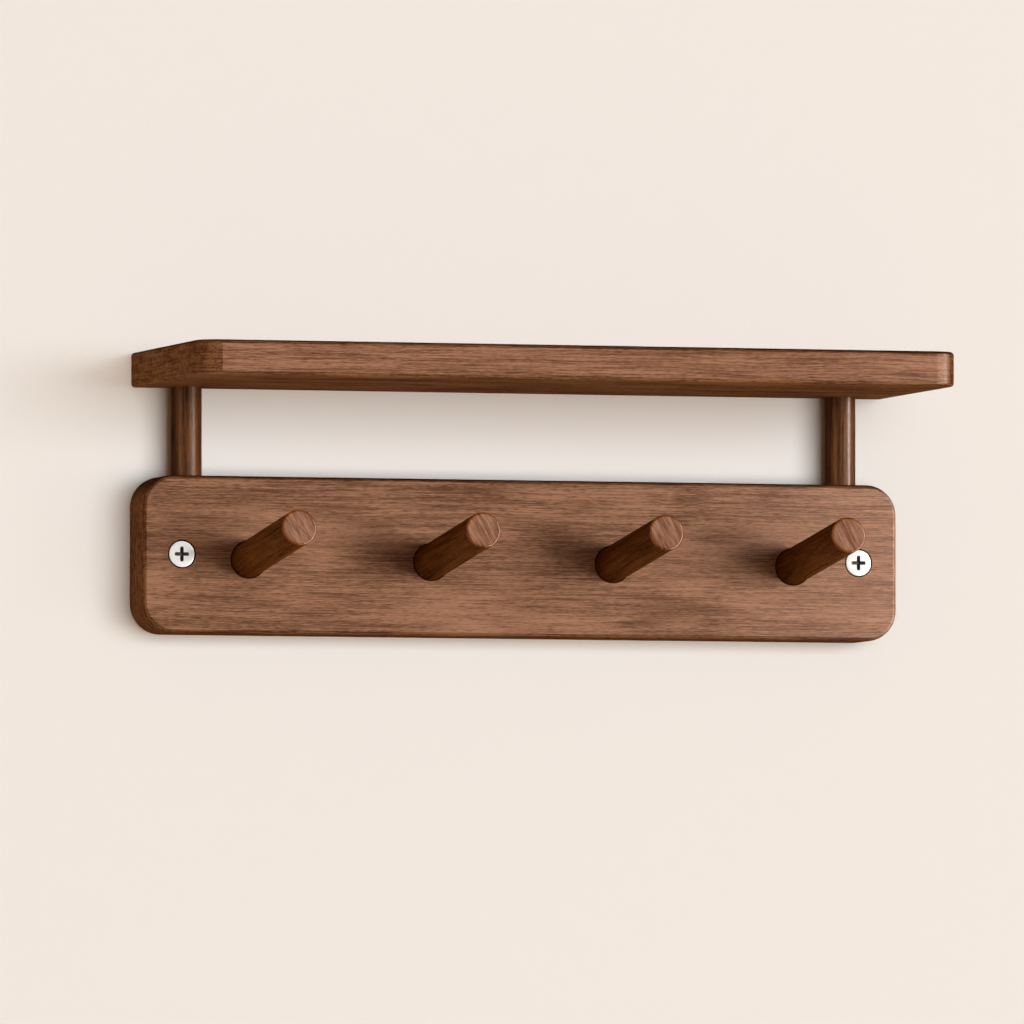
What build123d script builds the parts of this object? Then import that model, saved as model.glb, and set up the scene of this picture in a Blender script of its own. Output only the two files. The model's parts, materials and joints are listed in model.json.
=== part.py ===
from build123d import *
from math import cos, radians, sin, tan
import os

# Wall shelf in solid walnut: a shelf board stands on two round posts above a peg rail, and the rail
# is screwed to the wall. Nothing on it moves. Every wooden joint is a full-diameter round tenon
# glued into a blind bore, and the two screws pull the rail's back face against the wall.
#
# The origin is in the wall plane, at the middle of the rail's back face and of the line between
# the two screws. X runs along the rail, Y into the wall, and Z up. Left and right are as a person
# in front of the shelf sees them. All sizes are in millimetres.

# Boards
width = 330.0  # length of the shelf board and of the rail, which are cut to one stop
shelf_depth = 110.0  # from the wall plane to the shelf's front edge
shelf_thickness = 14.5
shelf_front_corner = 10.0  # radius of the shelf's two front corners, seen from above
shelf_back_corner = 3.0
rail_height = 66.0
rail_thickness = 22.0
rail_corner = 13.0  # radius of the rail's four corners, seen from the front
open_height = 37.5  # clear space between the rail and the shelf
edge_round = 1.5  # round-over that the hand meets, on every edge away from the wall
wall_edge_chamfer = 0.6  # the rail's edges against the wall are only broken with a plane

# Posts
post_diameter = 13.0
post_inset = 21.5  # from the end of the boards to the axis of a post
shelf_roof = 5.5  # wood left in the shelf above a post's bore
post_web = 9.0  # wood left in the rail between a post's bore and the height of a screw's countersink

# Pegs
peg_count = 4
peg_diameter = 15.0
peg_inset = 45.75  # from the end of the rail to the axis of an outer peg
peg_drop = 2.0  # how far below the rail's middle the pegs' axes leave its front face
peg_reach = 79.0  # along the axis, from the rail's front face to the peg's end
peg_tilt = 7.3  # degrees that a peg rises towards its end, so that what hangs on it stays on
peg_back_wall = 6.0  # wood left in the rail behind a peg's bore
peg_end_chamfer = 0.8  # on the open end, for the hand and the cloth

# Glued joints
glue_gap = 0.05  # radial room between a tenon and its bore
glue_space = 0.5  # room at the bottom of a blind bore
bore_ease = 0.4  # chamfer at the mouth of a peg's bore
tenon_chamfer = 1.0  # on the hidden ends of posts and pegs, to start them in their bores
drill_overrun = 5.0  # how far a drill's cut starts outside the wood

# Screws: countersunk wood screws with a cross recess
screw_inset = 16.75  # from the end of the rail to the axis of a screw
screw_length = 50.0  # from the top of the head to the point
head_diameter = 11.0
head_cone_angle = 90.0  # degrees, across the cone of the head and of its countersink
head_rim = 0.3  # straight edge of the head, above its cone
head_sink = 0.2  # how far the top of the head lies below the rail's front face
head_seat_gap = 0.03  # between the head's cone and the countersink, square to the screw's axis
shank_diameter = 4.2
thread_diameter = 5.5  # over the crests of the thread
thread_setback = 0.3  # smooth shank that stands past the wall plane before the thread begins
thread_room = 0.25  # radial room around the thread in its clearance hole
point_length = 7.0
point_diameter = 0.8
recess_span = 6.2  # across the cross recess, from wing to wing
recess_slot = 1.4
recess_depth = 2.8
recess_floor_span = 1.6

# Places that follow from these sizes
rail_top = rail_height / 2
rail_middle_y = -rail_thickness / 2
shelf_underside = rail_top + open_height
shelf_top = shelf_underside + shelf_thickness
post_x = width / 2 - post_inset
screw_x = width / 2 - screw_inset
cone_slope = tan(radians(head_cone_angle / 2))
head_top_y = head_sink - rail_thickness
countersink_radius = head_diameter / 2 + (head_rim + head_sink) * cone_slope + head_seat_gap
post_bore_radius = post_diameter / 2 + glue_gap
post_bore_bottom = countersink_radius + post_web
post_bore_roof = shelf_top - shelf_roof
peg_spacing = (width - 2 * peg_inset) / (peg_count - 1)
peg_bore_radius = peg_diameter / 2 + glue_gap
peg_rise = radians(peg_tilt)
peg_bore_depth = (rail_thickness - peg_back_wall - peg_bore_radius * sin(peg_rise)) / cos(peg_rise)
sides = {"left": -1, "right": 1}

os.makedirs("parts", exist_ok=True)


def peg_plane(x):
    """Plane square to a peg's axis, where that axis leaves the rail's front face."""
    return Plane(
        origin=(x, -rail_thickness, -peg_drop),
        x_dir=(1, 0, 0),
        z_dir=(0, -cos(peg_rise), sin(peg_rise)),
    )


# Shelf board: rounded in plan, all its long edges rounded over, with a blind bore for each post
with BuildPart() as shelf_board:
    with BuildSketch(Plane.XY.offset(shelf_underside)):
        with Locations((0, -shelf_depth / 2)):
            Rectangle(width, shelf_depth)
        fillet(vertices().group_by(Axis.Y)[0], radius=shelf_front_corner)
        fillet(vertices().group_by(Axis.Y)[-1], radius=shelf_back_corner)
    extrude(amount=shelf_thickness)
    fillet(faces().sort_by(Axis.Z)[0].edges(), radius=edge_round)
    fillet(faces().sort_by(Axis.Z)[-1].edges(), radius=edge_round)
    with BuildSketch(Plane.XY.offset(post_bore_roof)):
        with Locations((-post_x, rail_middle_y), (post_x, rail_middle_y)):
            Circle(post_bore_radius)
    extrude(amount=post_bore_roof - shelf_underside + drill_overrun, dir=(0, 0, -1), mode=Mode.SUBTRACT)
shelf_board.part.label = "shelf_board"
export_step(shelf_board.part, "parts/shelf_board.step")


# Peg rail: bores for the posts in its top edge, slanted bores for the pegs in its front face,
# and a countersunk clearance hole at each end for the screws
with BuildPart() as peg_rail:
    with BuildSketch(Plane.XZ):
        RectangleRounded(width, rail_height, rail_corner)
    extrude(amount=rail_thickness)
    fillet(faces().sort_by(Axis.Y)[0].edges(), radius=edge_round)
    chamfer(faces().sort_by(Axis.Y)[-1].edges(), length=wall_edge_chamfer)
    with BuildSketch(Plane.XY.offset(post_bore_bottom)):
        with Locations((-post_x, rail_middle_y), (post_x, rail_middle_y)):
            Circle(post_bore_radius)
    extrude(amount=rail_top - post_bore_bottom + drill_overrun, mode=Mode.SUBTRACT)
    with BuildSketch(peg_plane(0).offset(-peg_bore_depth)):
        with GridLocations(peg_spacing, 0, peg_count, 1):
            Circle(peg_bore_radius)
    extrude(amount=peg_bore_depth + drill_overrun, mode=Mode.SUBTRACT)
    front_face = faces().filter_by(Plane.XZ).sort_by(Axis.Y)[0]
    chamfer([mouth.edges() for mouth in front_face.inner_wires()], length=bore_ease)
    with Locations(Plane.XZ.offset(rail_thickness)):
        with Locations((-screw_x, 0), (screw_x, 0)):
            CounterSinkHole(
                radius=thread_diameter / 2 + thread_room,
                counter_sink_radius=countersink_radius,
                counter_sink_angle=head_cone_angle,
            )
peg_rail.part.label = "peg_rail"
export_step(peg_rail.part, "parts/peg_rail.step")


# Posts: straight dowels, seated in the rail and in the shelf
for side, direction in sides.items():
    with BuildPart() as post:
        with BuildSketch(Plane.XY.offset(post_bore_bottom + glue_space)):
            with Locations((direction * post_x, rail_middle_y)):
                Circle(post_diameter / 2)
        extrude(amount=post_bore_roof - post_bore_bottom - 2 * glue_space)
        chamfer(edges().filter_by(GeomType.CIRCLE), length=tenon_chamfer)
    post.part.label = f"{side}_post"
    export_step(post.part, f"parts/{side}_post.step")


# Pegs: straight dowels on the slanted axes of their bores, chamfered at both ends
for number in range(peg_count):
    peg_x = (number - (peg_count - 1) / 2) * peg_spacing
    with BuildPart() as peg:
        with BuildSketch(peg_plane(peg_x).offset(glue_space - peg_bore_depth)):
            Circle(peg_diameter / 2)
        extrude(amount=peg_bore_depth - glue_space + peg_reach)
        ends = edges().filter_by(GeomType.CIRCLE).sort_by(Axis.Y)
        chamfer(ends[0], length=peg_end_chamfer)
        chamfer(ends[-1], length=tenon_chamfer)
    peg.part.label = f"peg_{number + 1}"
    export_step(peg.part, f"parts/peg_{number + 1}.step")


def screw_outline():
    """Half outline of a screw as distances from its axis and from the wall plane, head first."""
    cone_top = head_top_y + head_rim
    cone_length = (head_diameter - shank_diameter) / 2 / cone_slope
    tip = head_top_y + screw_length
    return [
        (0, head_top_y),
        (head_diameter / 2, head_top_y),
        (head_diameter / 2, cone_top),
        (shank_diameter / 2, cone_top + cone_length),
        (shank_diameter / 2, thread_setback),
        (thread_diameter / 2, thread_setback),
        (thread_diameter / 2, tip - point_length),
        (point_diameter / 2, tip),
        (0, tip),
    ]


# Wall screws: a turned body with the recess that a cross-head driver leaves
for side, direction in sides.items():
    screw_axis = Axis((direction * screw_x, 0, 0), (0, 1, 0))
    head_plane = Plane(origin=(direction * screw_x, head_top_y, 0), x_dir=(1, 0, 0), z_dir=(0, 1, 0))
    with BuildPart() as driver_tip:
        with BuildSketch(head_plane):
            Rectangle(recess_span, recess_slot)
            Rectangle(recess_slot, recess_span)
        extrude(amount=recess_depth)
        with BuildSketch(head_plane):
            Circle(recess_span / 2)
        with BuildSketch(head_plane.offset(recess_depth)):
            Circle(recess_floor_span / 2)
        loft(mode=Mode.INTERSECT)
    with BuildPart() as wall_screw:
        with BuildSketch(Plane(origin=(direction * screw_x, 0, 0))):
            with BuildLine():
                Polyline(*screw_outline(), close=True)
            make_face()
        revolve(axis=screw_axis)
        add(driver_tip.part, mode=Mode.SUBTRACT)
    wall_screw.part.label = f"{side}_wall_screw"
    export_step(wall_screw.part, f"parts/{side}_wall_screw.step")
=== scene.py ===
# %% [markdown]
# # A wall shelf with pegs, in oiled walnut
#
# The object is a small wall shelf in the shaker manner: a shelf board stands on two round posts above a
# peg rail, and two countersunk screws hold the rail to the wall. This lesson dresses a finished CAD model
# of it. The boards and posts already have the right shape there, so they stay and only get a material.
# The pegs and screws are modelled again, because their rounded ends and threads show from close by.
#
# All places are in metres, in the model's own frame: X runs along the rail, Y into the wall and Z up.

# %% Load the model
import json
import math

import bpy
from mathutils import Matrix, Vector

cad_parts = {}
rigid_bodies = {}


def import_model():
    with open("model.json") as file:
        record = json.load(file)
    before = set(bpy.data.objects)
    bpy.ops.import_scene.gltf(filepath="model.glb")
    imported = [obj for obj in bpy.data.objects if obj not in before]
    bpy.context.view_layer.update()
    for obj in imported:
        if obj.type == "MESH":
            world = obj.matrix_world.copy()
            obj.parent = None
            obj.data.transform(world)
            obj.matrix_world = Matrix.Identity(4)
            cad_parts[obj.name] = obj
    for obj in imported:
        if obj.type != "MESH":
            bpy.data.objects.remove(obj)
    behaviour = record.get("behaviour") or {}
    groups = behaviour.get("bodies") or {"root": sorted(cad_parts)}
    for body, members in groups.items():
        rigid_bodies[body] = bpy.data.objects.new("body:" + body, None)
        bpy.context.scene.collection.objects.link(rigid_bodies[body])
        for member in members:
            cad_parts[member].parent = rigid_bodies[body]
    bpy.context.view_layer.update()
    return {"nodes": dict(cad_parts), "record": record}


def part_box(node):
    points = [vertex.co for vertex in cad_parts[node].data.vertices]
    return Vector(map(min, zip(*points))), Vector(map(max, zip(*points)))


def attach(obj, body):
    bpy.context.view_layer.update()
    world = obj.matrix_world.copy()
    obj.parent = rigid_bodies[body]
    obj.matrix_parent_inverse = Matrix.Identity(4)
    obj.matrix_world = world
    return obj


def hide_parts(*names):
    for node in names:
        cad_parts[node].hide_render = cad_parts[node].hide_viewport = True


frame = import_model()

MM = 0.001
print("nodes:", sorted(frame["nodes"]))

# %% [markdown]
# ## The camera
#
# A product picture of a long flat thing is taken from far away with a long lens, so that its lines stay
# nearly parallel. The camera stands a little to the left of the object and a little below the rail, which
# shows the left ends of the boards and the underside of the shelf. It could be placed by hand and pointed
# with a constraint. Here its direction is written as two angles, and its place and its turn are worked out
# from them, because two angles say more about a view than three coordinates do.

# %% Camera
def towards(azimuth, elevation):
    """Unit vector from the object towards something in front of it. The angles are in degrees: azimuth 0
    is straight in front, and grows to the right."""
    azimuth, elevation = math.radians(azimuth), math.radians(elevation)
    return Vector((
        math.sin(azimuth) * math.cos(elevation),
        -math.cos(azimuth) * math.cos(elevation),
        math.sin(elevation),
    ))


def turned_to(direction):
    """Rotation of a camera or lamp that stands in that direction and looks back at the object."""
    return direction.to_track_quat("Z", "Y").to_euler()


camera_direction = towards(azimuth=-16.4, elevation=-2.75)
camera_distance = 7.5
image_width_px = 1024
sensor_width_mm = 36.0
pixels_per_radian = 17790.0
aim = Vector((2.0 * MM, 0.0, 20.6 * MM))

camera_data = bpy.data.cameras.new("camera")
camera_data.sensor_width = sensor_width_mm
camera_data.lens = pixels_per_radian * sensor_width_mm / image_width_px
camera = bpy.data.objects.new("camera", camera_data)
camera.location = aim + camera_direction * camera_distance
camera.rotation_euler = turned_to(camera_direction)
bpy.context.scene.collection.objects.link(camera)
bpy.context.scene.camera = camera
print("lens in mm:", round(camera_data.lens))

# %% [markdown]
# ## Colour and node helpers
#
# Colours are given as sRGB hex values, and a shader wants them linear, so one function turns them.
# A material is a small graph of nodes. One more function adds a node with its settings and links, which
# lets each material below read from top to bottom like a recipe.


# %% Helpers for colours and nodes
def linear(hex_colour):
    """sRGB hex text, such as "f1e7de", as a linear RGBA tuple."""
    parts = [int(hex_colour[start:start + 2], 16) / 255 for start in (0, 2, 4)]
    return tuple(c / 12.92 if c <= 0.04045 else ((c + 0.055) / 1.055) ** 2.4 for c in parts) + (1.0,)


def add_node(tree, kind, inputs=None, **settings):
    """A new node. inputs maps a socket's name or number to a value, or to the node or socket that feeds it.
    Of a node that feeds it, the first output in use is taken."""
    node = tree.nodes.new(kind)
    for name, value in settings.items():
        setattr(node, name, value)
    for socket, value in (inputs or {}).items():
        if isinstance(value, bpy.types.Node):
            value = next(output for output in value.outputs if output.enabled)
        if isinstance(value, bpy.types.NodeSocket):
            tree.links.new(value, node.inputs[socket])
        else:
            node.inputs[socket].default_value = value
    return node


def new_material(name):
    """An empty material and its tree, to fill."""
    material = bpy.data.materials.new(name)
    material.use_nodes = True
    material.node_tree.nodes.clear()
    return material, material.node_tree


# a Mix node has a pair of sockets for each kind of value, and these two hold its colours
COLOUR_A = 6
COLOUR_B = 7

wall_paint = "f5efea"
print("wall colour, linear:", [round(value, 3) for value in linear(wall_paint)])

# %% [markdown]
# ## The wall
#
# A thing that stands would get a floor that curves up behind it. The shelf hangs on a matt plaster wall,
# painted in a warm white. The wall is a large plane, two tenths of a millimetre in front of the rail's
# back, so the object sits in it without a gap. Seen from behind, a wall would hide the object. So its
# material lets camera rays through from the back, and stays solid for light.


# %% Wall
def deselect_all():
    """Nothing selected, because an operator acts on all that is."""
    if bpy.context.mode != "OBJECT":
        bpy.ops.object.mode_set(mode="OBJECT")
    bpy.ops.object.select_all(action="DESELECT")


wall_size = 4.0
wall_y = -0.2 * MM
quarter_turn = math.pi / 2
deselect_all()
bpy.ops.mesh.primitive_plane_add(size=wall_size, location=(0, wall_y, 0), rotation=(quarter_turn, 0, 0))
wall = bpy.context.object
wall.name = "wall"
bpy.ops.object.transform_apply(location=True, rotation=True)
wall.visible_glossy = False

plaster, tree = new_material("matt_plaster")
facing = add_node(tree, "ShaderNodeNewGeometry")
path = add_node(tree, "ShaderNodeLightPath")
seen_from_behind = add_node(tree, "ShaderNodeMath", {
    0: facing.outputs["Backfacing"], 1: path.outputs["Is Camera Ray"],
}, operation="MULTIPLY")
paint = add_node(tree, "ShaderNodeBsdfDiffuse", {"Color": linear(wall_paint), "Roughness": 0.5})
clear = add_node(tree, "ShaderNodeBsdfTransparent")
either = add_node(tree, "ShaderNodeMixShader", {0: seen_from_behind, 1: paint, 2: clear})
add_node(tree, "ShaderNodeOutputMaterial", {"Surface": either})
wall.data.materials.append(plaster)
print("wall faces towards", tuple(round(value) for value in wall.data.polygons[0].normal))

# %% [markdown]
# ## The light
#
# A softbox is a rectangle of even light. It could be placed by coordinates and sized in metres. Here its
# place and its size are angles, as seen from the object, because these decide where its shadows fall and
# how soft they are. Its brightness is a radiance, where 1 is a white card in full light. A lamp can be
# linked to the things it works on, as a photographer flags a lamp with black cloth.


# %% Softboxes, and what they work on
lamp_distance = 12.0


def softbox(name, azimuth, elevation, width, height, radiance, colour="ffffff",
            distance=lamp_distance, centre=(0.0, 0.0, 0.0)):
    """An area lamp that faces a point of the object, its centre. Its place and its size are angles in
    degrees, as seen from there."""
    direction = towards(azimuth, elevation)
    data = bpy.data.lights.new(name, "AREA")
    data.shape = "RECTANGLE"
    data.size = 2 * distance * math.tan(math.radians(width / 2))
    data.size_y = 2 * distance * math.tan(math.radians(height / 2))
    data.energy = radiance * math.pi * data.size * data.size_y
    data.color = linear(colour)[:3]
    lamp = bpy.data.objects.new(name, data)
    lamp.location = Vector(centre) + direction * distance
    lamp.rotation_euler = turned_to(direction)
    lamp.visible_camera = False
    bpy.context.scene.collection.objects.link(lamp)
    print(name, "at", azimuth, elevation, "degrees")
    return lamp


def linked(name, things, state):
    """A collection for a lamp: with the state INCLUDE it works on these things alone, and with EXCLUDE on
    all others."""
    collection = bpy.data.collections.new(name)
    for thing in things:
        collection.objects.link(thing)
    for entry in collection.collection_objects:
        entry.light_linking.link_state = state
    return collection


print("lamps stand", lamp_distance, "metres away")

# %% [markdown]
# The light comes from the front, a little to the right. The wall and the object get it from lamps of their
# own, because they want different shadows. Two softboxes, one on top of the other, light only the wall and
# give its shadows their soft edge. The lower one shines up past the shelf without a shadow from it, so the
# wall above the shelf stays clean. The object has a small key, which draws the shadows of the pegs on the
# rail, and a broad weak softbox. Two weak lamps, below and on the left, lift the shelf's underside and the
# boards' left ends out of the dark, as light from a floor and a room does.

# %% Lamps
wall_high = softbox(
    "wall_high", azimuth=16, elevation=5.5, width=52, height=17, radiance=7.75, colour="e6f5ff",
)
wall_low = softbox(
    "wall_low", azimuth=16, elevation=-8.5, width=52, height=11, radiance=6.9, colour="fff8f0",
)
key = softbox("key", azimuth=21, elevation=3, width=16, height=14, radiance=38.0)
soft = softbox("soft", azimuth=8, elevation=0, width=64, height=44, radiance=0.6)
floor_glow = softbox(
    "floor_glow", azimuth=0, elevation=-78, width=60, height=24, radiance=3.5, colour="f2f8ff",
)
side_glow = softbox("side_glow", azimuth=-80, elevation=0, width=20, height=50, radiance=1.6)
for lamp in (wall_high, wall_low, key, soft, floor_glow, side_glow):
    lamp.visible_glossy = False

# %% [markdown]
# Polished wood gets its life from what it mirrors. Broad lamps would only veil it, so neither they nor the
# wall are seen in reflections. Cards are seen only there. One stands in front for the screw heads and the
# rims of the pegs, and one on each side. Each post has an upright card of its own, which draws its streak.
# Two small cards stand close to the right end of the rail: one gives the boards their sheen there, and the
# other draws a line of light on the rail's rounded edge.

# %% Cards
cream = "ffe8d8"
front_card = softbox("front_card", azimuth=16, elevation=3, width=56, height=56, radiance=1.03)
right_card = softbox(
    "right_card", azimuth=64, elevation=-14, width=22, height=90, radiance=27.0, colour=cream,
)
left_card = softbox("left_card", azimuth=-58, elevation=4, width=18, height=70, radiance=2.2, colour=cream)
post_cards = {
    "left_post": softbox(
        "left_post_card", azimuth=41, elevation=4, width=19, height=70, radiance=18.5, colour=cream,
    ),
    "right_post": softbox(
        "right_post_card", azimuth=54, elevation=4, width=15, height=70, radiance=42.0, colour=cream,
    ),
}

close_distance = 220 * MM
rail_low, rail_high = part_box("peg_rail")
rail_end = (rail_high.x, rail_low.y, 0.0)
end_card = softbox(
    "end_card", azimuth=21, elevation=1, width=16, height=50, radiance=15.5, colour=cream,
    distance=close_distance, centre=rail_end,
)
edge_card = softbox(
    "edge_card", azimuth=55, elevation=0, width=12, height=90, radiance=72.0, colour=cream,
    distance=close_distance, centre=rail_end,
)
for card in (front_card, right_card, left_card, end_card, edge_card, *post_cards.values()):
    card.visible_diffuse = False

# %% [markdown]
# One more lamp stands behind the wall and lights the back of the rail, for views from there. Then each
# lamp is told what it works on. The boards leave out the card in front, which would fog their broad faces,
# and the posts mirror the card on the right too brightly, so they have their own.

# %% What each lamp works on
behind = softbox("behind", azimuth=170, elevation=20, width=50, height=50, radiance=2.2)
behind.visible_glossy = False

shelf_board = frame["nodes"]["shelf_board"]
peg_rail = frame["nodes"]["peg_rail"]
posts = [frame["nodes"][name] for name in post_cards]
only_the_wall = linked("only_the_wall", [wall], "INCLUDE")
all_but_the_wall = linked("all_but_the_wall", [wall], "EXCLUDE")
for lamp in (wall_high, wall_low):
    lamp.light_linking.receiver_collection = only_the_wall
for lamp in (key, soft):
    lamp.light_linking.receiver_collection = all_but_the_wall
for name, card in post_cards.items():
    card.light_linking.receiver_collection = linked(f"only_the_{name}", [frame["nodes"][name]], "INCLUDE")
right_card.light_linking.receiver_collection = linked("all_but_the_posts", posts, "EXCLUDE")
floor_glow.light_linking.receiver_collection = linked("only_the_shelf", [shelf_board], "INCLUDE")
front_card.light_linking.receiver_collection = linked("no_boards", [shelf_board, peg_rail], "EXCLUDE")
edge_card.light_linking.receiver_collection = linked("only_the_rail", [peg_rail], "INCLUDE")
only_the_boards = linked("only_the_boards", [shelf_board, peg_rail], "INCLUDE")
for lamp in (side_glow, end_card):
    lamp.light_linking.receiver_collection = only_the_boards
wall_low.light_linking.blocker_collection = linked("all_but_the_shelf", [shelf_board], "EXCLUDE")
for lamp in (wall_high, key, floor_glow, side_glow):
    print(lamp.name, "works on", lamp.light_linking.receiver_collection.name)

# %% [markdown]
# ## The room
#
# The world fills the shadows from everywhere, with the warm light that a wooden room throws back. A sky
# texture would do that too, but brings its own colours. So the world is plain, and asks what kind of ray
# looks at it: to the camera it is as bright as the wall, and in reflections it is a dark room, in which the
# cards stand out.

# %% World
world = bpy.data.worlds.new("studio")
bpy.context.scene.world = world
world.use_nodes = True
world.node_tree.nodes.clear()
fill_strength = 0.2
mirrored_strength = 0.04
wall_as_lit = "f1e7de"
warm_fill = "ffca8c"
path = add_node(world.node_tree, "ShaderNodeLightPath")
filled_or_mirrored = add_node(world.node_tree, "ShaderNodeMapRange", {
    "Value": path.outputs["Is Glossy Ray"], "To Min": fill_strength, "To Max": mirrored_strength,
})
brightness = add_node(world.node_tree, "ShaderNodeMath", {
    0: filled_or_mirrored, 1: path.outputs["Is Camera Ray"],
}, operation="MAXIMUM")
hue = add_node(world.node_tree, "ShaderNodeMix", {
    0: path.outputs["Is Diffuse Ray"], COLOUR_A: linear(wall_as_lit), COLOUR_B: linear(warm_fill),
}, data_type="RGBA")
sky = add_node(world.node_tree, "ShaderNodeBackground", {"Color": hue, "Strength": brightness})
add_node(world.node_tree, "ShaderNodeOutputWorld", {"Surface": sky})
bpy.context.scene.view_settings.view_transform = "Standard"
print("fill", fill_strength)

# %% [markdown]
# ## The figure of walnut
#
# Black walnut is a wood of a cool grey brown. Its figure has four sizes: thin growth layers, which lie on
# each other like pages, broad bands of tone, fine fibres, and short dark dashes, its cut pores. All are
# long along the grain and thin across it. Each is solid noise, stretched along the grain, so it runs over
# the edges and shows as lines on a long side and as dots on an end, as in real wood. An image texture
# would need a cut for every face. The same figure serves boards and dowels, turned by two directions: the
# one along the grain, and the one in which the growth layers are stacked.


# %% Walnut figure
def walnut_figure(tree, along, stacked, sizes, weights):
    """The tone of the wood and its pores, both from 0 to 1, on a material's tree. sizes gives the layers,
    bands, fibres and pores in mm: along the grain, through the stack of layers, and across. weights says
    how much each of them adds to the tone."""
    along, stacked = Vector(along).normalized(), Vector(stacked).normalized()
    turn = Matrix((along, stacked, along.cross(stacked))).to_euler()
    coordinates = add_node(tree, "ShaderNodeTexCoord")
    place_mm = add_node(tree, "ShaderNodeMapping", {
        "Vector": coordinates.outputs["Object"], "Rotation": turn, "Scale": (1 / MM,) * 3,
    })

    # the grain wanders across by a millimetre or two over a hand's width
    drift_length = 70.0
    drift_reach = 2.5
    drift = add_node(tree, "ShaderNodeTexNoise", {
        "Vector": place_mm, "Scale": 1 / drift_length, "Detail": 1.0,
    })
    drift_mm = add_node(tree, "ShaderNodeVectorMath", {
        0: drift.outputs["Color"], 1: (0.0, drift_reach, drift_reach),
    }, operation="MULTIPLY")
    grain = add_node(tree, "ShaderNodeVectorMath", {0: place_mm, 1: drift_mm})

    # each noise lies around a half, and so does their sum
    tone = 0.5 - sum(weights) / 2
    for size, weight in zip(sizes, weights):
        stretched = add_node(tree, "ShaderNodeMapping", {
            "Vector": grain, "Scale": tuple(1 / length for length in size),
        })
        noise = add_node(tree, "ShaderNodeTexNoise", {
            "Vector": stretched, "Scale": 1.0, "Detail": 2.0, "Roughness": 0.6,
        })
        tone = add_node(tree, "ShaderNodeMath", {0: noise, 1: weight, 2: tone}, operation="MULTIPLY_ADD")

    # the last noise is that of the pores, and only its lowest spots are cut open
    pores = add_node(tree, "ShaderNodeMapRange", {
        "Value": noise, "From Min": 0.4, "From Max": 0.28,
    }, interpolation_type="SMOOTHSTEP")
    return tone, pores


def relief(tree, pores, depth_mm):
    """Bump of the open grain: the pores lie deep."""
    return add_node(tree, "ShaderNodeBump", {"Height": pores, "Strength": 1.0, "Distance": -depth_mm * MM})


def dress(node_name, material):
    """Gives a CAD node its material."""
    slots = frame["nodes"][node_name].data.materials
    slots.clear()
    slots.append(material)


# Along the grain, through the stack of layers, and across, in mm. Real pores are nearly half as wide, and
# wouldn't show.
fibre_size = (40.0, 0.3, 0.3)
pore_size = (3.5, 0.28, 0.28)
print("fibres:", fibre_size, "pores:", pore_size)

# %% [markdown]
# ## The boards
#
# Planed flat and rubbed with oil, walnut is satin and rather pale. The pale colour of the planed faces also
# carries a painted sheen: the room mirrored in the oil is mixed into it. Round edges, ends and the
# underside are sanded, and there the oil soaks in deeper and leaves the wood darker and more orange, so
# these faces get the darker colour without the painted sheen. So the colour asks how far a face is turned
# from the board's planed sides, which are its front, back and top, and mixes two pairs of colours by that.
# It could also be painted on the faces by hand, but that would need a cut at every edge. On the right, the
# rounded edges keep the pale colour for a little way, which paints on them the light of the lamps on the
# right.
# Edges that look up get a painted shade, nearly black. A drilled hole gets the same near black: partly the
# dark end grain inside it, partly painted shade.


# %% Masks for the planed sides, the drilled holes and the film of oil
still_planed = 0.99995
turned_away = 0.998


def planed_sides(tree, normal, painted_light_on_right):
    """1 on a board's front, back and top, and 0 where its surface turns away from them. The larger
    painted_light_on_right is, the further its right edge may turn and still count as planed: painted light
    from the lamps on the right."""
    front_or_back = add_node(tree, "ShaderNodeMath", {0: normal.outputs["Y"]}, operation="ABSOLUTE")
    facing_right = add_node(tree, "ShaderNodeMath", {0: normal.outputs["X"], 1: 0.0}, operation="MAXIMUM")
    # painted light: the right edge keeps the pale planed colour a little further round, for the lamps on
    # the right
    facing_with_painted_light = add_node(tree, "ShaderNodeMath", {
        0: facing_right, 1: painted_light_on_right, 2: front_or_back,
    }, operation="MULTIPLY_ADD")
    facing = add_node(tree, "ShaderNodeMath", {0: facing_with_painted_light, 1: normal.outputs["Z"]}, operation="MAXIMUM")
    return add_node(tree, "ShaderNodeMapRange", {
        "Value": facing, "From Min": turned_away, "From Max": still_planed,
    }, interpolation_type="SMOOTHSTEP")


def drilled_holes(tree, coordinates):
    """1 in the middle of the rail, out to beyond the screws. The holes are all that isn't planed there."""
    holes_x = 157 * MM
    holes_z = 14 * MM
    place = add_node(tree, "ShaderNodeSeparateXYZ", {0: coordinates.outputs["Object"]})
    from_middle_x = add_node(tree, "ShaderNodeMath", {0: place.outputs["X"]}, operation="ABSOLUTE")
    from_middle_z = add_node(tree, "ShaderNodeMath", {0: place.outputs["Z"]}, operation="ABSOLUTE")
    inside_x = add_node(tree, "ShaderNodeMath", {0: from_middle_x, 1: holes_x}, operation="LESS_THAN")
    inside_z = add_node(tree, "ShaderNodeMath", {0: from_middle_z, 1: holes_z}, operation="LESS_THAN")
    return add_node(tree, "ShaderNodeMath", {0: inside_x, 1: inside_z}, operation="MULTIPLY")


def dry_oil_film(tree, normal):
    """Strength of the film of oil on the planed sides. It fades along their rounded edges, and at a grazing
    view."""
    film_strength = 0.25
    front_or_back = add_node(tree, "ShaderNodeMath", {0: normal.outputs["Y"]}, operation="ABSOLUTE")
    touched = add_node(tree, "ShaderNodeMath", {
        0: front_or_back, 1: normal.outputs["Z"],
    }, operation="MAXIMUM")
    film = add_node(tree, "ShaderNodeMapRange", {
        "Value": touched, "From Min": 0.78, "From Max": 0.9, "To Min": 0.0, "To Max": film_strength,
    })
    grazing = add_node(tree, "ShaderNodeLayerWeight")
    return add_node(tree, "ShaderNodeMapRange", {
        "Value": grazing.outputs["Facing"], "From Min": 0.5, "From Max": 0.8, "To Min": film, "To Max": 0.0,
    })


print("a face is sanded from a turn of", round(math.degrees(math.acos(turned_away)), 1), "degrees on")

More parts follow.
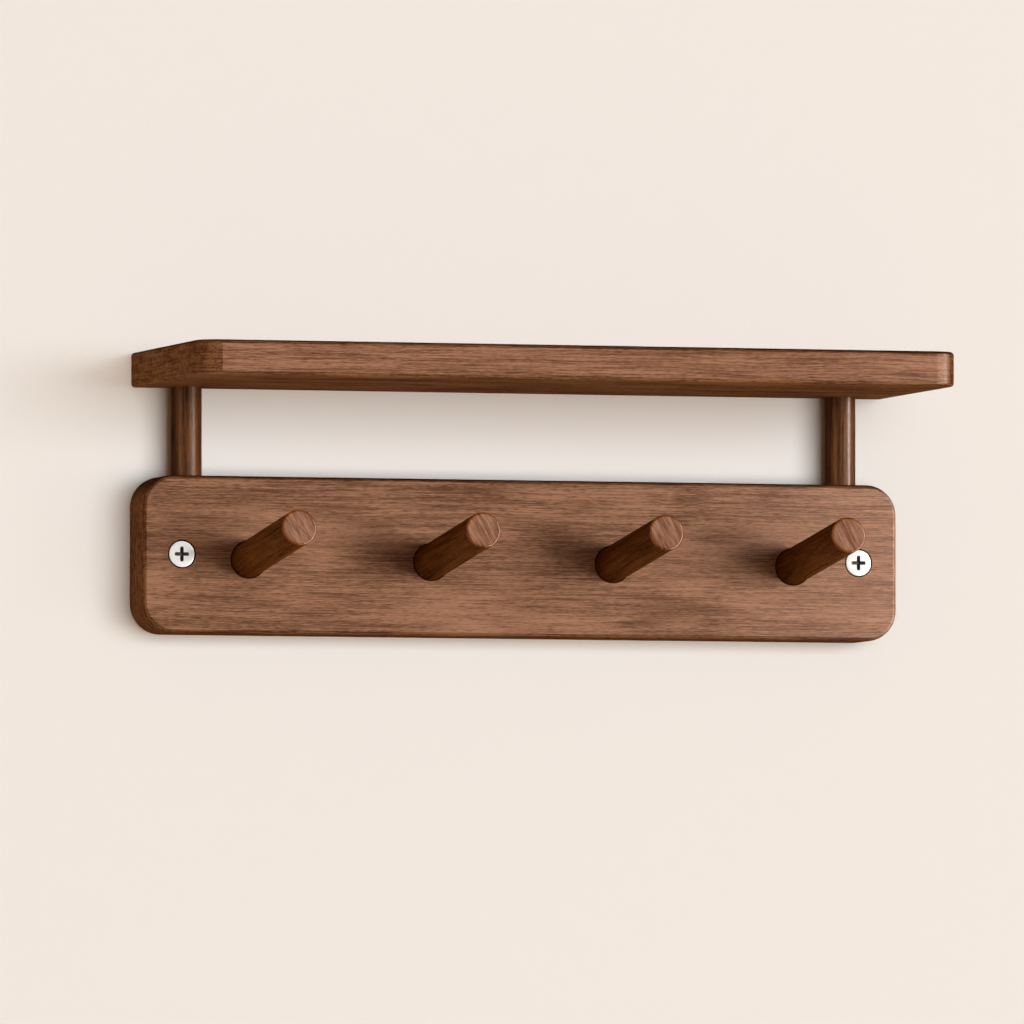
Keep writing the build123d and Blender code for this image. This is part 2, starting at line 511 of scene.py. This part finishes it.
# %% [markdown]
# The wood itself is matt, so that light from the side doesn't turn it grey. Only the planed faces were
# rubbed to a thin film of dry oil, which is a coat in the shader. It fades at a grazing view, where open
# pores break it up.
#
# The layers lie parallel to the broad faces: in the rail they are stacked from front to back, and in the
# shelf from bottom to top. So the two boards get a material each, made by one function.


# %% Boards in oiled walnut
def board_walnut(name, stacked, darkest, lightest, painted_light_on_right):
    """Oiled walnut for a board whose grain runs along X, and whose layers are stacked in that direction.
    The two colours are those of its planed faces, with a painted sheen in them, and painted_light_on_right
    says how far its right edge has them, as painted light from the lamps on the right."""
    material, tree = new_material(name)
    tone, pores = walnut_figure(
        tree, along=(1, 0, 0), stacked=stacked,
        sizes=((90.0, 0.9, 18.0), (50.0, 2.6, 2.6), fibre_size, pore_size), weights=(1.4, 1.1, 2.4, 2.0),
    )
    coordinates = add_node(tree, "ShaderNodeTexCoord")
    normal = add_node(tree, "ShaderNodeSeparateXYZ", {0: coordinates.outputs["Normal"]})
    planed = planed_sides(tree, normal, painted_light_on_right)
    drilled = drilled_holes(tree, coordinates)
    # the pale colours of the planed faces also carry a painted sheen, the room mirrored in the oil
    pale = add_node(tree, "ShaderNodeMix", {
        0: tone, COLOUR_A: linear(darkest), COLOUR_B: linear(lightest),
    }, data_type="RGBA")

    # sanded wood shows its figure twice as strongly
    contrast = 2.0
    deep_tone = add_node(tree, "ShaderNodeMath", {
        0: tone, 1: contrast, 2: (1 - contrast) / 2,
    }, operation="MULTIPLY_ADD")
    soaked = add_node(tree, "ShaderNodeMix", {
        0: deep_tone, COLOUR_A: linear("462312"), COLOUR_B: linear("7c5333"),
    }, data_type="RGBA")
    # painted shade: edges that look up and the drilled holes are mixed towards a near black; in a hole it
    # also stands for the dark end grain
    facing_up = add_node(tree, "ShaderNodeMapRange", {
        "Value": normal.outputs["Z"], "From Min": 0.2, "From Max": 0.7, "To Max": 0.7,
    })
    painted_shade = add_node(tree, "ShaderNodeMath", {0: facing_up, 1: drilled}, operation="MAXIMUM")
    away = add_node(tree, "ShaderNodeMix", {
        0: painted_shade, COLOUR_A: soaked, COLOUR_B: linear("1c0c04"),
    }, data_type="RGBA")
    wood = add_node(tree, "ShaderNodeMix", {0: planed, COLOUR_A: away, COLOUR_B: pale}, data_type="RGBA")

    pore_darkness = 0.5
    pore_shade = add_node(tree, "ShaderNodeMath", {0: pores, 1: pore_darkness}, operation="MULTIPLY")
    bumps = relief(tree, pores, depth_mm=0.02)
    surface = add_node(tree, "ShaderNodeBsdfPrincipled", {
        "Base Color": add_node(tree, "ShaderNodeMix", {
            0: pore_shade, COLOUR_A: wood, COLOUR_B: linear("3a2416"),
        }, data_type="RGBA"),
        "Roughness": 0.9, "Normal": bumps, "Specular IOR Level": 0.0,
        "Coat Weight": dry_oil_film(tree, normal), "Coat Normal": bumps,
        "Coat Roughness": 0.34, "Coat IOR": 1.5,
    })
    add_node(tree, "ShaderNodeOutputMaterial", {"Surface": surface})
    return material


rail_wood = board_walnut(
    "oiled_walnut_rail", stacked=(0, 1, 0), darkest="613f2a", lightest="a2775c", painted_light_on_right=0.22,
)
shelf_wood = board_walnut(
    "oiled_walnut_shelf", stacked=(0, 0, 1), darkest="5e3c27", lightest="9d7157", painted_light_on_right=0.35,
)
dress("peg_rail", rail_wood)
dress("shelf_board", shelf_wood)
print("boards dressed")

# %% [markdown]
# ## The dowels
#
# Posts and pegs are turned dowels. Their side cuts the fibres at every angle, so it drinks more oil than a
# planed face and comes out a deep red brown, with dark lines where it cuts the layers. A post is polished
# in the lathe. A peg's side stays as it left the sander: the oil sank in without a film, so it mirrors
# nothing. One function with a few settings makes both.


# %% Walnut of the posts and pegs
def dowel_walnut(name, along, stacked, darkest, lightest, weights, roughness, specular_level):
    """Oiled walnut for the side of a dowel."""
    material, tree = new_material(name)
    tone, pores = walnut_figure(
        tree, along=along, stacked=stacked,
        sizes=((60.0, 1.5, 12.0), (30.0, 1.0, 1.0), fibre_size, pore_size), weights=weights,
    )
    wood = add_node(tree, "ShaderNodeMix", {
        0: tone, COLOUR_A: linear(darkest), COLOUR_B: linear(lightest),
    }, data_type="RGBA")
    pore_darkness = 0.6
    pore_shade = add_node(tree, "ShaderNodeMath", {0: pores, 1: pore_darkness}, operation="MULTIPLY")
    surface = add_node(tree, "ShaderNodeBsdfPrincipled", {
        "Base Color": add_node(tree, "ShaderNodeMix", {
            0: pore_shade, COLOUR_A: wood, COLOUR_B: linear("1e0d04"),
        }, data_type="RGBA"),
        "Roughness": roughness, "Normal": relief(tree, pores, depth_mm=0.015),
        "IOR": 1.5, "Specular IOR Level": specular_level,
    })
    add_node(tree, "ShaderNodeOutputMaterial", {"Surface": surface})
    return material


post_wood = dowel_walnut(
    "oiled_walnut_post", along=(0, 0, 1), stacked=(1, 0.3, 0), darkest="291304", lightest="784925",
    weights=(1.6, 1.0, 1.6, 1.0), roughness=0.28, specular_level=0.2,
)
for node_name in ("left_post", "right_post"):
    dress(node_name, post_wood)

mounts = {mount["name"]: mount for mount in frame["record"]["mounts"]}
peg_axis = Vector(mounts["hang_peg_1"]["axis"])
ring_slant = math.radians(28)
peg_up = peg_axis.cross(Vector((1, 0, 0)))
peg_layers = Vector((math.cos(ring_slant), 0, 0)) + math.sin(ring_slant) * peg_up
peg_wood = dowel_walnut(
    "oiled_walnut_peg_side", along=peg_axis, stacked=peg_layers, darkest="2f1706", lightest="86522a",
    weights=(1.1, 0.8, 1.0, 0.7), roughness=0.9, specular_level=0.0,
)
print("layers of the pegs stacked towards", tuple(round(value, 2) for value in peg_layers))

# %% [markdown]
# On the sawn open end of a peg the layers show as slanting lines on pale, matt wood, and that pale colour
# also carries a painted sheen. Its rounded rim is oiled dark, and hands polished it, so it has a coat. The
# side's material could be asked to change there, but the end wants layers and fibres of other sizes. So it
# is a material of its own.

# %% Walnut of the pegs' ends
end_wood, tree = new_material("oiled_walnut_peg_end")
tone, pores = walnut_figure(
    tree, along=peg_axis, stacked=peg_layers,
    sizes=((60.0, 1.1, 14.0), (60.0, 0.5, 5.0), (4.0, 0.3, 0.3), (20.0, 0.4, 0.4)),
    weights=(1.8, 1.8, 0.9, 0.8),
)
coordinates = add_node(tree, "ShaderNodeTexCoord")
facing_out = add_node(tree, "ShaderNodeVectorMath", {
    0: coordinates.outputs["Normal"], 1: peg_axis,
}, operation="DOT_PRODUCT")
sawn = add_node(tree, "ShaderNodeMapRange", {
    "Value": facing_out, "From Min": 0.98, "From Max": 0.999,
}, interpolation_type="SMOOTHSTEP")
rim = add_node(tree, "ShaderNodeMix", {
    0: tone, COLOUR_A: linear("552b10"), COLOUR_B: linear("945526"),
}, data_type="RGBA")
# the pale end colour also carries a painted sheen
end = add_node(tree, "ShaderNodeMix", {
    0: tone, COLOUR_A: linear("673f2a"), COLOUR_B: linear("a57d67"),
}, data_type="RGBA")
surface = add_node(tree, "ShaderNodeBsdfPrincipled", {
    "Base Color": add_node(tree, "ShaderNodeMix", {
        0: sawn, COLOUR_A: rim, COLOUR_B: end,
    }, data_type="RGBA"),
    "Roughness": add_node(tree, "ShaderNodeMapRange", {"Value": sawn, "To Min": 0.3, "To Max": 0.55}),
    "Normal": relief(tree, pores, depth_mm=0.02), "Specular IOR Level": 0.0,
    "Coat Weight": add_node(tree, "ShaderNodeMapRange", {"Value": sawn, "To Min": 0.6, "To Max": 0.0}),
    "Coat Roughness": 0.2, "Coat IOR": 1.5,
})
add_node(tree, "ShaderNodeOutputMaterial", {"Surface": surface})
print("made", end_wood.name)

# %% [markdown]
# ## Helpers for modelling
#
# An operator works on what is selected, and most of the steps below begin the same way: one piece is made
# the active one, and the edges that the next operator shapes are found by where they lie. So these steps
# get a small function each.


# %% Helpers for pieces
def select_only(piece):
    """One piece selected and active."""
    deselect_all()
    bpy.context.view_layer.objects.active = piece
    piece.select_set(True)


def edit_edges(piece, is_wanted):
    """Opens a piece in edit mode with only those edges selected for whose two ends is_wanted is true."""
    select_only(piece)
    bpy.ops.object.mode_set(mode="EDIT")
    bpy.ops.mesh.select_mode(type="EDGE")
    bpy.ops.mesh.select_all(action="DESELECT")
    bpy.ops.object.mode_set(mode="OBJECT")
    for edge in piece.data.edges:
        edge.select = is_wanted(*(piece.data.vertices[corner].co for corner in edge.vertices))
    bpy.ops.object.mode_set(mode="EDIT")


def moved_copy(piece, offset):
    """A copy of a piece with a mesh of its own, moved by that offset."""
    select_only(piece)
    bpy.ops.object.duplicate(linked=False)
    bpy.ops.transform.translate(value=offset)
    bpy.ops.object.transform_apply(location=True)
    return bpy.context.object


def finish_piece(piece, name, material, node_name):
    """Smooth shading, a material, and the piece's place in the model."""
    smooth_below = math.radians(35)
    select_only(piece)
    bpy.ops.object.shade_smooth_by_angle(angle=smooth_below)
    piece.name = piece.data.name = name
    if not piece.data.materials:
        piece.data.materials.append(material)
    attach(piece, "root")
    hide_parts(node_name)


# what lies closer together than this is in one place
hair = 0.01 * MM
print("a hair is", hair / MM, "mm")

# %% [markdown]
# ## The pegs
#
# A peg is a dowel, cut to length, with its open end rounded over so that it doesn't mark the cloth. A
# curve with a bevel could draw it, but a cylinder gives clean flat ends. It stands on the slanted axis of
# its bore. The edge of the open end is bevelled in four steps to a round of 1 mm, and the hidden end gets
# a plain chamfer. Then the faces at the open end get the end's material. One peg is modelled and three are
# copied along the rail.

# %% The first peg
peg_radius = mounts["hang_peg_1"]["dims"]["r_mm"] * MM
peg_reach = mounts["hang_peg_1"]["dims"]["length_mm"] * MM
peg_middle = Vector(mounts["hang_peg_1"]["pos_m"])
peg_tenon = 14.6 * MM  # the length that is hidden in the rail
end_round = 1.0 * MM
tenon_chamfer = 1.0 * MM

deselect_all()
bpy.ops.mesh.primitive_cylinder_add(
    vertices=96, radius=peg_radius, depth=peg_reach + peg_tenon, end_fill_type="NGON",
    location=peg_middle - peg_axis * peg_tenon / 2, rotation=peg_axis.to_track_quat("Z", "Y").to_euler(),
)
first_peg = bpy.context.object
bpy.ops.object.transform_apply(location=True, rotation=True)


def along_peg(point):
    """Distance of a point from the middle of the first peg's free length, out along its axis."""
    return (point - peg_middle).dot(peg_axis)


edit_edges(first_peg, lambda *ends: min(map(along_peg, ends)) > peg_reach / 2 - hair)
bpy.ops.mesh.bevel(offset=end_round, segments=4, profile=0.5, affect="EDGES")
edit_edges(first_peg, lambda *ends: max(map(along_peg, ends)) < -peg_reach / 2 - peg_tenon + hair)
bpy.ops.mesh.bevel(offset=tenon_chamfer, segments=1, affect="EDGES")
deselect_all()
first_peg.data.materials.append(peg_wood)
first_peg.data.materials.append(end_wood)
for face in first_peg.data.polygons:
    if along_peg(face.center) > peg_reach / 2 - end_round:
        face.material_index = 1
print("first peg:", len(first_peg.data.polygons), "faces")

# %% All four pegs
pegs = [first_peg]
for number in (2, 3, 4):
    place = Vector(mounts[f"hang_peg_{number}"]["pos_m"])
    pegs.append(moved_copy(first_peg, place - peg_middle))
for number, peg in enumerate(pegs, start=1):
    finish_piece(peg, f"turned_peg_{number}", peg_wood, f"peg_{number}")
print("pegs:", len(pegs))

# %% [markdown]
# ## The wall screws
#
# The rail hangs on two countersunk wood screws, zinc plated. From the front only the head shows, with its
# cross recess, and from behind the thread. Fresh zinc is a bright, nearly white metal, and screws are
# plated in a tumbling barrel, which leaves it slightly speckled: the light on it is soft, and never a
# clean mirror image. Noise draws the speckles in the colour, the roughness and the bump. Real ones are
# finer than half a millimetre, and wouldn't show. The recess gets a darker, duller zinc, a painted shade
# for the shade that lies in it.

# %% Zinc plate
zinc, tree = new_material("bright_zinc_plate")
coordinates = add_node(tree, "ShaderNodeTexCoord")
speckle_width = 0.5 * MM
speckle_height = 0.05 * MM
speckle = add_node(tree, "ShaderNodeTexNoise", {
    "Vector": coordinates.outputs["Object"], "Scale": 1 / speckle_width,
})
surface = add_node(tree, "ShaderNodeBsdfPrincipled", {
    "Base Color": add_node(tree, "ShaderNodeMix", {
        0: speckle, COLOUR_A: linear("dcdddc"), COLOUR_B: linear("f2f3f3"),
    }, data_type="RGBA"),
    "Roughness": add_node(tree, "ShaderNodeMapRange", {
        "Value": speckle, "From Min": 0.3, "From Max": 0.7, "To Min": 0.28, "To Max": 0.42,
    }),
    "Metallic": 1.0,
    "Normal": add_node(tree, "ShaderNodeBump", {
        "Height": speckle, "Strength": 0.15, "Distance": speckle_height,
    }),
})
add_node(tree, "ShaderNodeOutputMaterial", {"Surface": surface})

# painted shade: a darker, duller zinc for the shade in the recess
shaded_zinc, tree = new_material("zinc_with_painted_shade_in_the_recess")
surface = add_node(tree, "ShaderNodeBsdfPrincipled", {
    "Base Color": linear("6e6d6a"), "Roughness": 0.5, "Metallic": 0.9,
})
add_node(tree, "ShaderNodeOutputMaterial", {"Surface": surface})
print("made", zinc.name, "and", shaded_zinc.name)

# %% [markdown]
# The body grows from one disc, the top of the head, which is extruded and scaled from station to station
# like a telescope. A lathe profile with a spin would do the same, with more points to place by hand.

# %% Screw body
screw_low, screw_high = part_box("left_wall_screw")
head_top = screw_low.y
screw_tip = screw_high.y
head_radius = (screw_high.x - screw_low.x) / 2
screw_centre = Vector(((screw_low.x + screw_high.x) / 2, 0.0, (screw_low.z + screw_high.z) / 2))
shank_radius = 2.1 * MM
core_radius = 1.75 * MM
tip_radius = 0.15 * MM
head_rim = 0.3 * MM
head_edge_round = 0.2 * MM
head_cone = head_radius - shank_radius
thread_start = 0.3 * MM
point_length = 7.0 * MM
point_start = screw_tip - point_length
core_step = 0.4 * MM  # in which the shank narrows to the core of the thread

deselect_all()
bpy.ops.mesh.primitive_circle_add(
    vertices=64, radius=head_radius, fill_type="NGON",
    location=(screw_centre.x, head_top, screw_centre.z), rotation=(quarter_turn, 0, 0),
)
screw = bpy.context.object
bpy.ops.object.transform_apply(location=True, rotation=True)
bpy.ops.object.mode_set(mode="EDIT")
bpy.ops.mesh.select_all(action="SELECT")
place, radius = head_top, head_radius
for next_place, next_radius in (
    (head_top + head_rim, head_radius),
    (head_top + head_rim + head_cone, shank_radius),
    (thread_start, shank_radius),
    (thread_start + core_step, core_radius),
    (point_start, core_radius),
    (screw_tip, tip_radius),
):
    bpy.ops.mesh.extrude_region_move(TRANSFORM_OT_translate={"value": (0, next_place - place, 0)})
    bpy.ops.transform.resize(
        value=(next_radius / radius, 1, next_radius / radius),
        center_override=(screw_centre.x, next_place, screw_centre.z),
    )
    place, radius = next_place, next_radius
bpy.ops.mesh.select_all(action="SELECT")
bpy.ops.mesh.normals_make_consistent(inside=False)
edit_edges(screw, lambda *ends: max(end.y for end in ends) < head_top + hair)
bpy.ops.mesh.bevel(offset=head_edge_round, segments=3, profile=0.5, affect="EDGES")
deselect_all()
screw.data.materials.append(zinc)
print("screw body:", round((screw_tip - head_top) / MM, 1), "mm long")

# %% [markdown]
# The recess is cut by a driver's tip: two blades that cross, each narrower at the bottom, with rounded
# ends. A blade starts as a block. Its deep face is scaled down, its upright corners are bevelled, and a
# boolean takes it out of the head.

# %% Cross recess
recess_span = 6.2 * MM
recess_slot = 1.5 * MM
recess_depth = 2.8 * MM
recess_floor_span = 1.8 * MM
recess_floor_slot = 1.0 * MM
wing_round = 0.4 * MM
cut_above = 0.5 * MM  # how far a blade stands out of the head, so that no skin is left over the cut


def boolean(piece, tool, operation):
    """Cuts the tool out of a piece or joins it to the piece, and removes the tool."""
    select_only(piece)
    modifier = piece.modifiers.new("cut", "BOOLEAN")
    modifier.operation = operation
    modifier.object = tool
    modifier.solver = "EXACT"
    modifier.material_mode = "TRANSFER"
    bpy.ops.object.modifier_apply(modifier=modifier.name)
    bpy.data.objects.remove(tool)


floor_y = head_top + recess_depth
for turn in (0.0, quarter_turn):
    deselect_all()
    bpy.ops.mesh.primitive_cube_add(
        size=1.0, scale=(recess_span, recess_depth, recess_slot),
        location=(screw_centre.x, head_top + recess_depth / 2, screw_centre.z),
    )
    blade = bpy.context.object
    bpy.ops.object.transform_apply(location=True, rotation=True, scale=True)
    edit_edges(blade, lambda *ends: min(end.y for end in ends) > floor_y - hair)
    bpy.ops.transform.resize(
        value=(recess_floor_span / recess_span, 1, recess_floor_slot / recess_slot),
        center_override=(screw_centre.x, floor_y, screw_centre.z),
    )
    edit_edges(blade, lambda *ends: abs(ends[0].y - ends[1].y) > recess_depth / 2)
    bpy.ops.mesh.bevel(offset=wing_round, segments=3, profile=0.5, affect="EDGES")
    edit_edges(blade, lambda *ends: max(end.y for end in ends) < head_top + hair)
    bpy.ops.mesh.extrude_region_move(TRANSFORM_OT_translate={"value": (0, -cut_above, 0)})
    deselect_all()
    blade.data.transform(
        Matrix.Translation(screw_centre) @ Matrix.Rotation(turn, 4, "Y") @ Matrix.Translation(-screw_centre)
    )
    blade.data.materials.append(shaded_zinc)
    boolean(screw, blade, "DIFFERENCE")
print("screw with recess:", len(screw.data.polygons), "faces,", len(screw.data.materials), "materials")

# %% [markdown]
# The thread is one small triangle, swept by a Screw modifier: its origin is put on the screw's axis, and
# each turn climbs by the pitch. A bump in the material would be quicker, but a thread shows in the
# outline.

# %% Sweep the thread
thread_radius = 2.75 * MM
turns = 11
thread_sunk = 0.12 * MM  # how deep its root lies in the core
thread_slimness = 0.65  # how wide it is at its root, against a triangle with equal sides
root_radius = core_radius - thread_sunk
# such a triangle is one and a half times as high as the radius of the circle around it
triangle_radius = (thread_radius - root_radius) / 1.5
thread_low = thread_start + core_step + triangle_radius
thread_pitch = (screw_tip - triangle_radius - thread_low) / turns

deselect_all()
bpy.ops.mesh.primitive_circle_add(
    vertices=3, radius=triangle_radius, fill_type="NOTHING",
    location=(screw_centre.x + root_radius + triangle_radius / 2, thread_low, screw_centre.z),
    rotation=(0.0, 0.0, -quarter_turn),
)
thread = bpy.context.object
bpy.ops.object.transform_apply(location=True, rotation=True)
bpy.ops.object.mode_set(mode="EDIT")
bpy.ops.mesh.select_all(action="SELECT")
bpy.ops.transform.resize(
    value=(1, thread_slimness, 1), center_override=(screw_centre.x, thread_low, screw_centre.z),
)
bpy.ops.object.mode_set(mode="OBJECT")
bpy.context.scene.cursor.location = screw_centre
bpy.ops.object.origin_set(type="ORIGIN_CURSOR")

sweep = thread.modifiers.new("sweep", "SCREW")
sweep.axis = "Y"
sweep.screw_offset = thread_pitch
sweep.iterations = turns
sweep.steps = sweep.render_steps = 32
bpy.ops.object.modifier_apply(modifier=sweep.name)
bpy.ops.object.transform_apply(location=True)
print("thread:", turns, "turns with a pitch of", round(thread_pitch / MM, 2), "mm")

# %% [markdown]
# The thread's ends are closed. Then every point of it is drawn in towards the axis, where the thread starts
# and where the screw's point narrows. A boolean joins it to the core as one closed body.

# %% Shape the thread's ends and join it to the core
run_in = 1.5 * MM  # in which the thread reaches its height
least_share = 0.05  # of its height, where it starts, because a face needs some height to be a face
bpy.ops.object.mode_set(mode="EDIT")
bpy.ops.mesh.select_all(action="SELECT")
bpy.ops.mesh.fill_holes(sides=0)
bpy.ops.mesh.select_all(action="SELECT")
bpy.ops.mesh.normals_make_consistent(inside=False)
bpy.ops.object.mode_set(mode="OBJECT")

for vertex in thread.data.vertices:
    out = Vector((vertex.co.x - screw_centre.x, vertex.co.z - screw_centre.z))
    height = (out.length - root_radius) * min(1.0, max(least_share, (vertex.co.y - thread_low) / run_in))
    left_to_tip = min(1.0, (screw_tip - vertex.co.y) / (screw_tip - point_start))
    core = tip_radius + (core_radius - tip_radius) * left_to_tip
    out *= (core - thread_sunk + height * left_to_tip) / out.length
    vertex.co = (screw_centre.x + out.x, vertex.co.y, screw_centre.z + out.y)
thread.data.materials.append(zinc)
boolean(screw, thread, "UNION")
print("screw with thread:", len(screw.data.polygons), "faces")

# %% [markdown]
# The screw stands in the left end of the rail. The one on the right is a copy of it, moved and not
# mirrored, because a mirror would turn its thread the wrong way.

# %% Both screws in their places
right_low, right_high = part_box("right_wall_screw")
right_screw = moved_copy(screw, (right_low.x - screw_low.x, 0, 0))
finish_piece(screw, "left_wood_screw", zinc, "left_wall_screw")
finish_piece(right_screw, "right_wood_screw", zinc, "right_wall_screw")
print("screws at x in mm:", round(screw_centre.x / MM, 2), round((right_low.x + right_high.x) / 2 / MM, 2))
